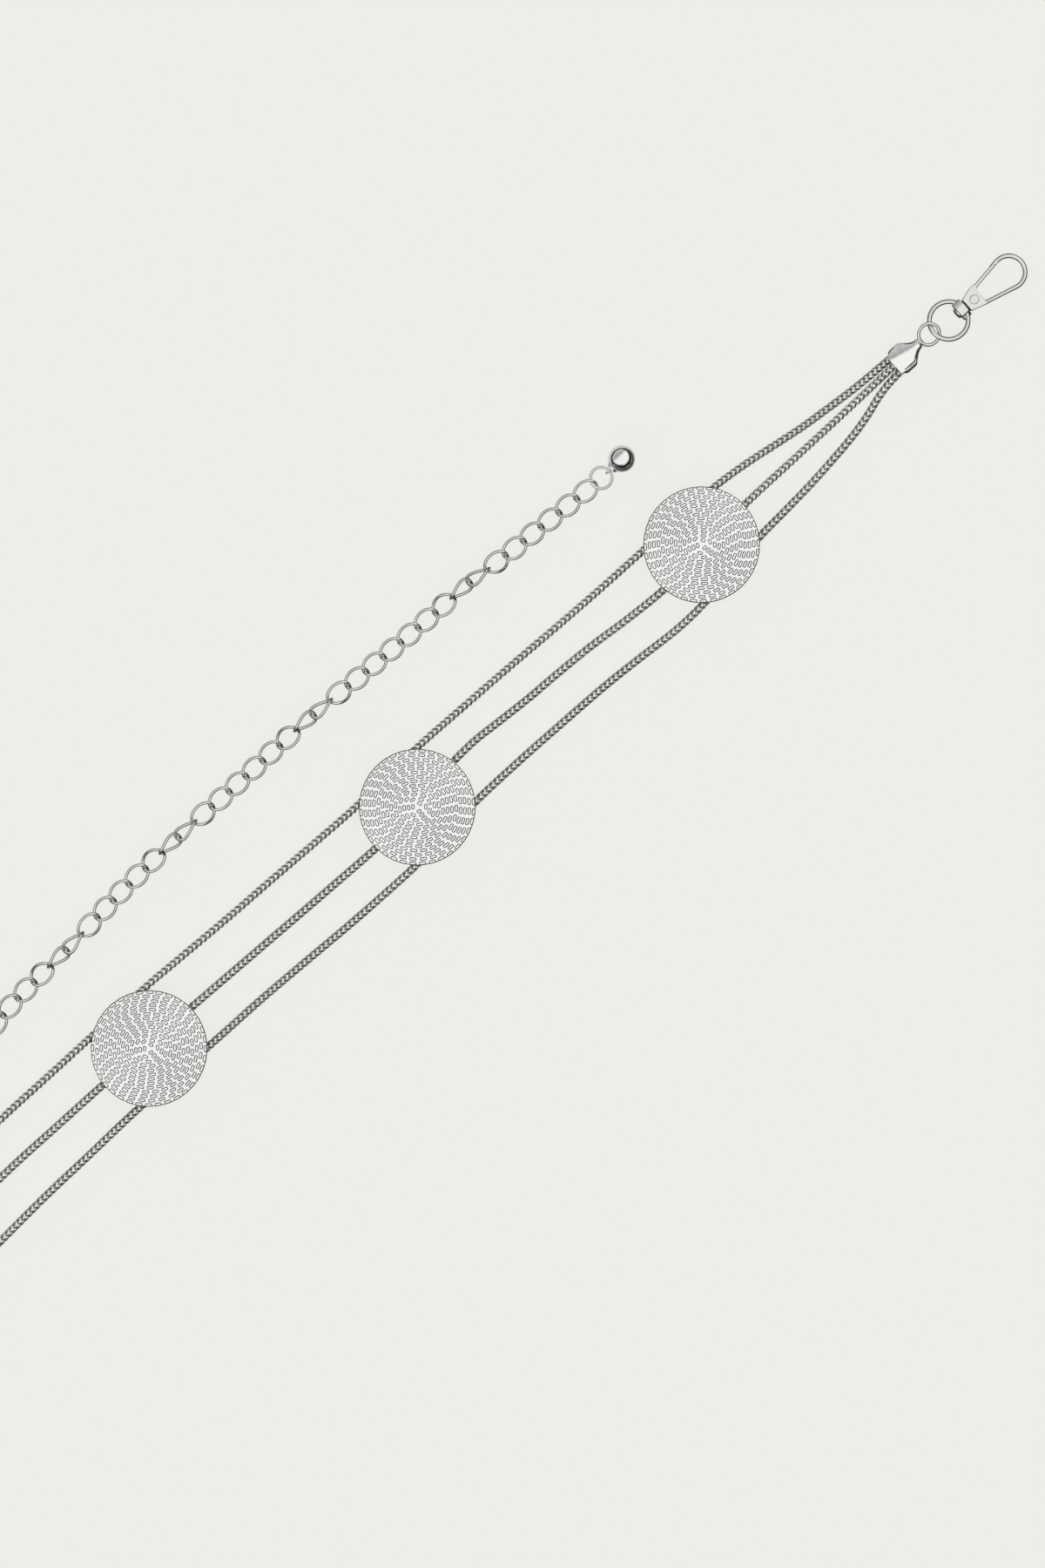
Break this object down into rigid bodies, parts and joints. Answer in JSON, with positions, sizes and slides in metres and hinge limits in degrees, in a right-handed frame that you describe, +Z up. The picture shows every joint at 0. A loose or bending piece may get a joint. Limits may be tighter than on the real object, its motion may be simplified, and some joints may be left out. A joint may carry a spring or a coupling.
{
  "type": "waist chain",
  "caption": "Body jewellery belt of three braided strands with domed dash-textured discs, a swivel snap hook at one end and a curb-link extender ending in a ball at the other.",
  "frame": {"origin": "on the surface the belt lies on, under the middle disc's middle staple", "axes": "+X along the belt towards the snap hook, +Y across it towards the side on which the extender lies, +Z up off the surface"},
  "size_m": [0.6013, 0.1056, 0.0092],
  "materials": {
    "disc_metal": "cast silver-tone discs, satin, darker between the raised marks",
    "strand_metal": "silver-tone plated braided chain, polished with light wear",
    "cap_metal": "silver-tone plated sheet and wire, polished",
    "clasp_metal": "silver-tone plated cast snap hook, polished with light wear",
    "link_metal": "silver-tone plated curb links, polished",
    "ball_metal": "silver-tone plated ball, mirror polished"
  },
  "bodies": {
    "belt": {"disc_1": "disc_metal", "disc_2": "disc_metal", "disc_3": "disc_metal", "disc_4": "disc_metal", "disc_5": "disc_metal", "strand_upper": "strand_metal", "strand_middle": "strand_metal", "strand_lower": "strand_metal", "end_cap_clasp": "cap_metal", "end_cap_extender": "cap_metal", "jump_ring_clasp": "cap_metal", "jump_ring_extender": "cap_metal", "swivel_eye": "clasp_metal", "extender_chain": "link_metal", "ball_ring": "link_metal", "ball_drop": "ball_metal"},
    "hook": {"hook_frame": "clasp_metal"},
    "lever": {"gate": "clasp_metal"}
  },
  "joints": [
    {"name": "swivel", "type": "hinge", "parent": "belt", "child": "hook", "pos_m": [0.37772, -0.00055, 0.00219], "axis": [0.9988, 0, -0.0481], "continuous": true},
    {"name": "gate_hinge", "type": "hinge", "parent": "hook", "child": "lever", "pos_m": [0.38562, 0.00215, 0.00181], "axis": [0.0481, 0, 0.9988], "range_deg": [-25, 0], "stiffness_Nm_per_rad": 0.002, "springref_deg": 17.19}
  ]
}
